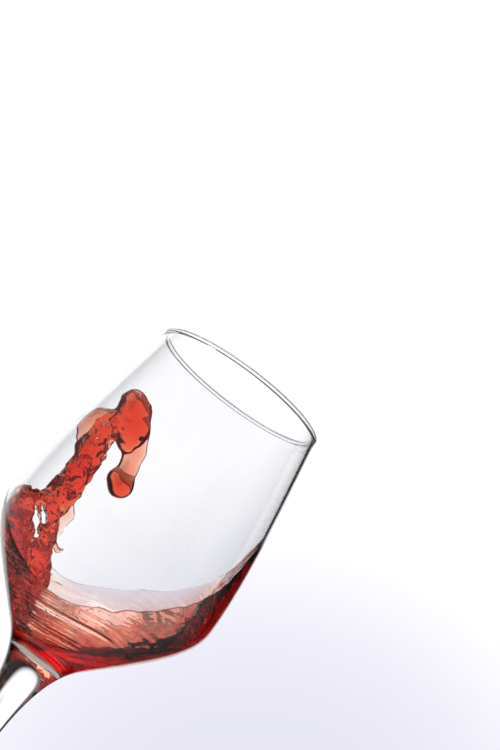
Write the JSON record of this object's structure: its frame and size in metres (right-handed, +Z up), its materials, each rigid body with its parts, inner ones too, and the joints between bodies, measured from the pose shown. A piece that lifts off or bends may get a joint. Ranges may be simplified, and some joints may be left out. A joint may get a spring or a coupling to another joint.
{
  "type": "glass of red wine",
  "caption": "Stemmed wine glass on its foot, holding a small pour of red wine caught in mid swirl, with a splash crest that curls over into a hanging tongue.",
  "frame": {"origin": "centre of the ring that the foot rests on", "axes": "+Z up along the glass's axis; +X the way the level plane of the wine climbs, within 17 degrees; +Y across it"},
  "size_m": [0.09, 0.09, 0.235],
  "materials": {
    "glass": "clear, thin, polished",
    "wine": "wet, see-through where thin"
  },
  "bodies": {
    "root": {"glass": "glass", "wine": "wine"}
  },
  "joints": []
}
